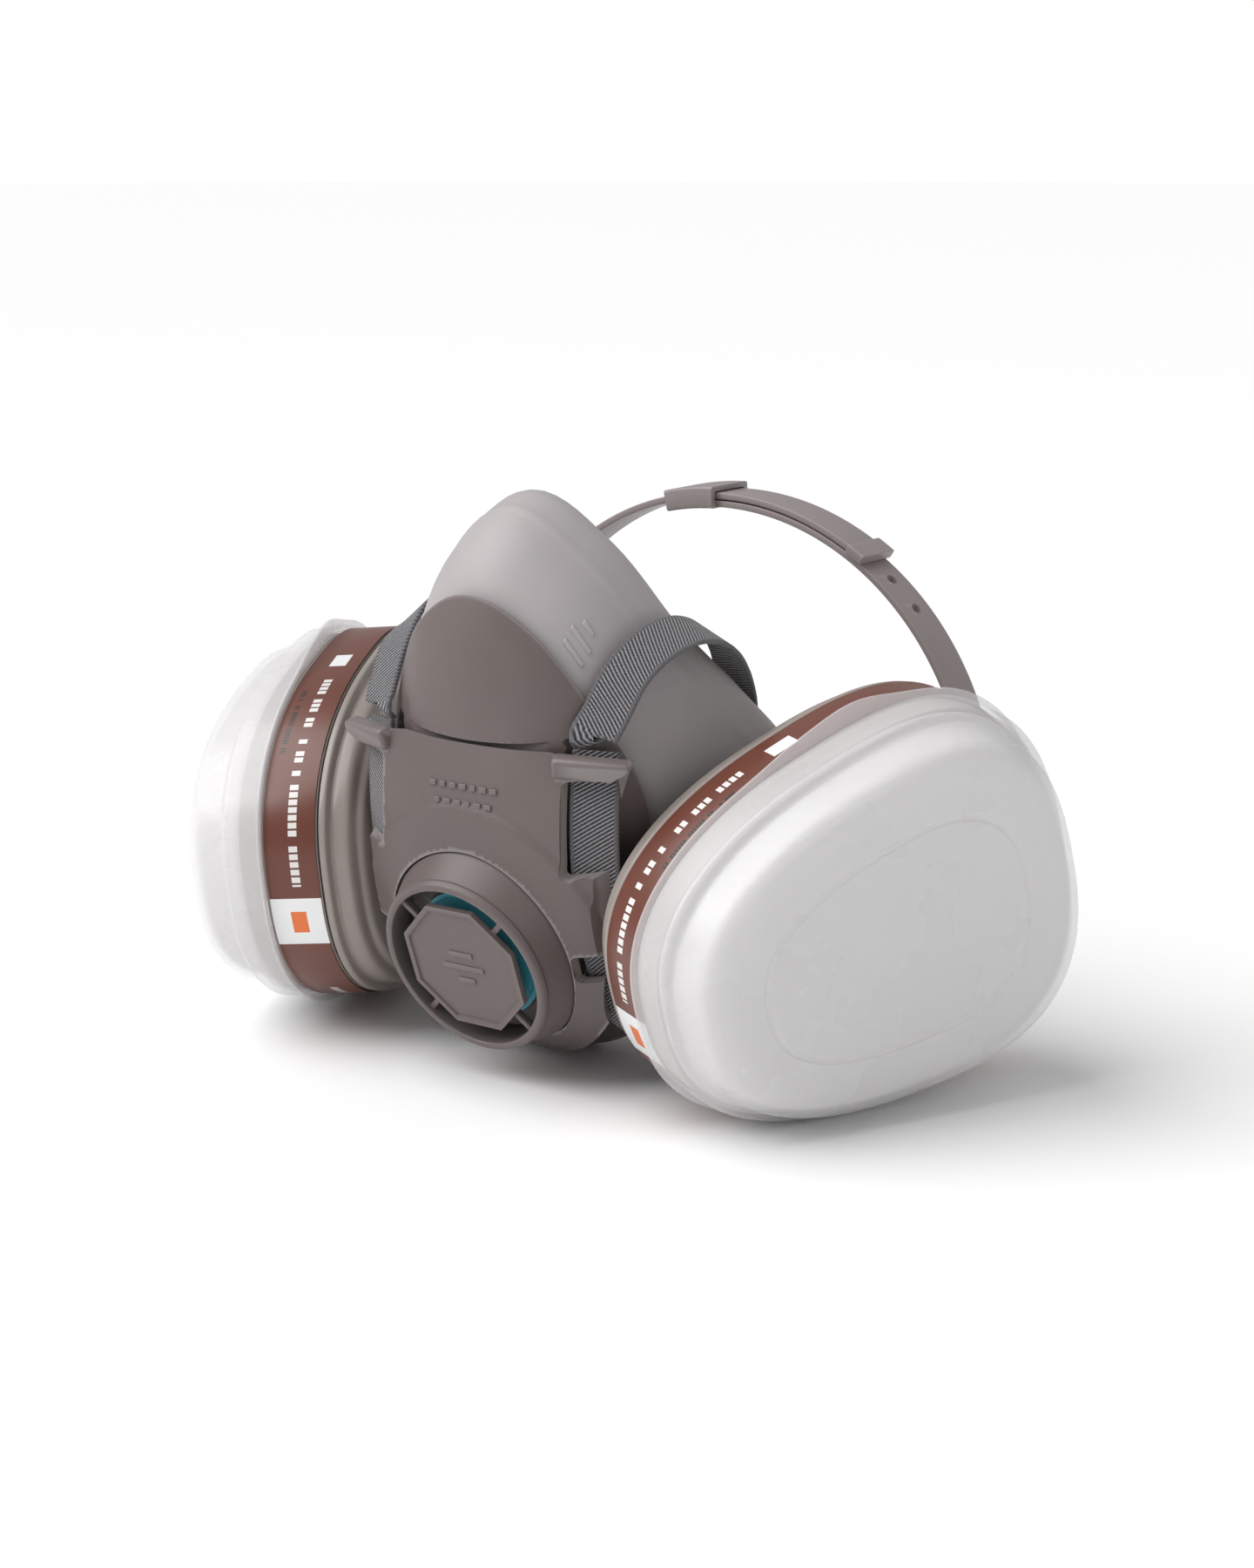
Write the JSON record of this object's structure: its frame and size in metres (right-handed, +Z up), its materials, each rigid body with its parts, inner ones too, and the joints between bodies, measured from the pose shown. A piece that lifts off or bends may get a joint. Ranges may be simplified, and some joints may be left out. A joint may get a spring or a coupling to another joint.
{
  "type": "half mask respirator",
  "caption": "Elastomeric half mask with bayonet gas cartridges, press-on prefilter caps, front exhalation valve and a drop-down head harness.",
  "frame": {"origin": "centre of the bounding box on the ground that the mask stands on", "axes": "+X to the wearer's left along the overall width, -Y ahead of the wearer through the exhalation valve, +Z up"},
  "size_m": [0.2344, 0.1456, 0.1373],
  "materials": {
    "grey_elastomer": "satin",
    "dark_moulding": "satin",
    "cartridge_plastic": "satin",
    "label_print": "satin print",
    "carbon_granules": "granular",
    "screen_mesh": "woven",
    "filter_fleece": "non-woven",
    "frosted_cap": "frosted translucent",
    "blue_silicone": "satin",
    "gasket_rubber": "matte",
    "woven_webbing": "twill weave",
    "cradle_plastic": "satin"
  },
  "bodies": {
    "facepiece": {"face_seal": "grey_elastomer", "front_shell": "dark_moulding", "harness_yoke": "dark_moulding", "exhale_valve_seat": "dark_moulding", "bayonet_port_left": "dark_moulding", "port_gasket_left": "gasket_rubber", "port_nut_left": "dark_moulding", "bayonet_port_right": "dark_moulding", "port_gasket_right": "gasket_rubber", "port_nut_right": "dark_moulding", "lower_strap_left": "woven_webbing", "lower_strap_right": "woven_webbing", "neck_loop": "dark_moulding"},
    "valve_cover": {"valve_cover": "dark_moulding"},
    "exhale_flap": {"exhale_flap": "blue_silicone"},
    "inhale_flap_left": {"inhale_flap_left": "blue_silicone"},
    "inhale_flap_right": {"inhale_flap_right": "blue_silicone"},
    "cartridge_left": {"cartridge_base_left": "cartridge_plastic", "cartridge_case_left": "cartridge_plastic", "cartridge_label_left": "label_print", "inner_screen_left": "screen_mesh", "carbon_bed_left": "carbon_granules", "outer_screen_left": "screen_mesh"},
    "cartridge_right": {"cartridge_base_right": "cartridge_plastic", "cartridge_case_right": "cartridge_plastic", "cartridge_label_right": "label_print", "inner_screen_right": "screen_mesh", "carbon_bed_right": "carbon_granules", "outer_screen_right": "screen_mesh"},
    "prefilter_left": {"filter_cap_left": "frosted_cap", "prefilter_pad_left": "filter_fleece"},
    "prefilter_right": {"filter_cap_right": "frosted_cap", "prefilter_pad_right": "filter_fleece"},
    "harness": {"cradle_band_left": "cradle_plastic", "upper_strap_left": "woven_webbing", "upper_strap_right": "woven_webbing"},
    "crown_band": {"cradle_band_right": "cradle_plastic"},
    "strap_slide_left": {"strap_slide_left": "dark_moulding"},
    "strap_slide_right": {"strap_slide_right": "dark_moulding"},
    "neck_hook": {"neck_hook": "dark_moulding"}
  },
  "joints": [
    {"name": "valve_cover_pull", "type": "slide", "parent": "facepiece", "child": "valve_cover", "axis": [0, -0.9397, -0.342], "range_m": [0, 0.012]},
    {"name": "exhale_flap_lift", "type": "slide", "parent": "facepiece", "child": "exhale_flap", "axis": [0, -0.9397, -0.342], "range_m": [0, 0.0011], "stiffness_N_per_m": 30},
    {"name": "inhale_flap_left_lift", "type": "slide", "parent": "facepiece", "child": "inhale_flap_left", "axis": [-0.9156, 0.3924, 0.0872], "range_m": [0, 0.0012], "stiffness_N_per_m": 30},
    {"name": "inhale_flap_right_lift", "type": "slide", "parent": "facepiece", "child": "inhale_flap_right", "axis": [0.9156, 0.3924, 0.0872], "range_m": [0, 0.0012], "stiffness_N_per_m": 30},
    {"name": "cartridge_left_turn", "type": "hinge", "parent": "facepiece", "child": "cartridge_left", "pos_m": [0.07771, -0.01782, 0.04552], "axis": [0.9156, -0.3924, -0.0872], "range_deg": [0, 30]},
    {"name": "cartridge_right_turn", "type": "hinge", "parent": "facepiece", "child": "cartridge_right", "pos_m": [-0.07769, -0.01782, 0.04552], "axis": [-0.9156, -0.3924, -0.0872], "range_deg": [-12.5, 17.5]},
    {"name": "prefilter_left_pull", "type": "slide", "parent": "cartridge_left", "child": "prefilter_left", "axis": [0.9156, -0.3924, -0.0872], "range_m": [0, 0.025]},
    {"name": "prefilter_right_pull", "type": "slide", "parent": "cartridge_right", "child": "prefilter_right", "axis": [-0.9156, -0.3924, -0.0872], "range_m": [0, 0.025]},
    {"name": "harness_swing", "type": "hinge", "parent": "facepiece", "child": "harness", "pos_m": [0, -0.0512, 0.0845], "axis": [1, 0, 0], "range_deg": [0, 35]},
    {"name": "crown_band_slide", "type": "hinge", "parent": "harness", "child": "crown_band", "pos_m": [0, 0.04978, 0.05312], "axis": [0, 1, 0], "range_deg": [0, 8]},
    {"name": "strap_slide_left_adjust", "type": "slide", "parent": "facepiece", "child": "strap_slide_left", "axis": [0, 1, 0], "range_m": [-0.01, 0.005]},
    {"name": "strap_slide_right_adjust", "type": "slide", "parent": "facepiece", "child": "strap_slide_right", "axis": [0, 1, 0], "range_m": [-0.01, 0.005]},
    {"name": "neck_hook_lift", "type": "slide", "parent": "facepiece", "child": "neck_hook", "axis": [0, 0, 1], "range_m": [0, 0.006]}
  ]
}
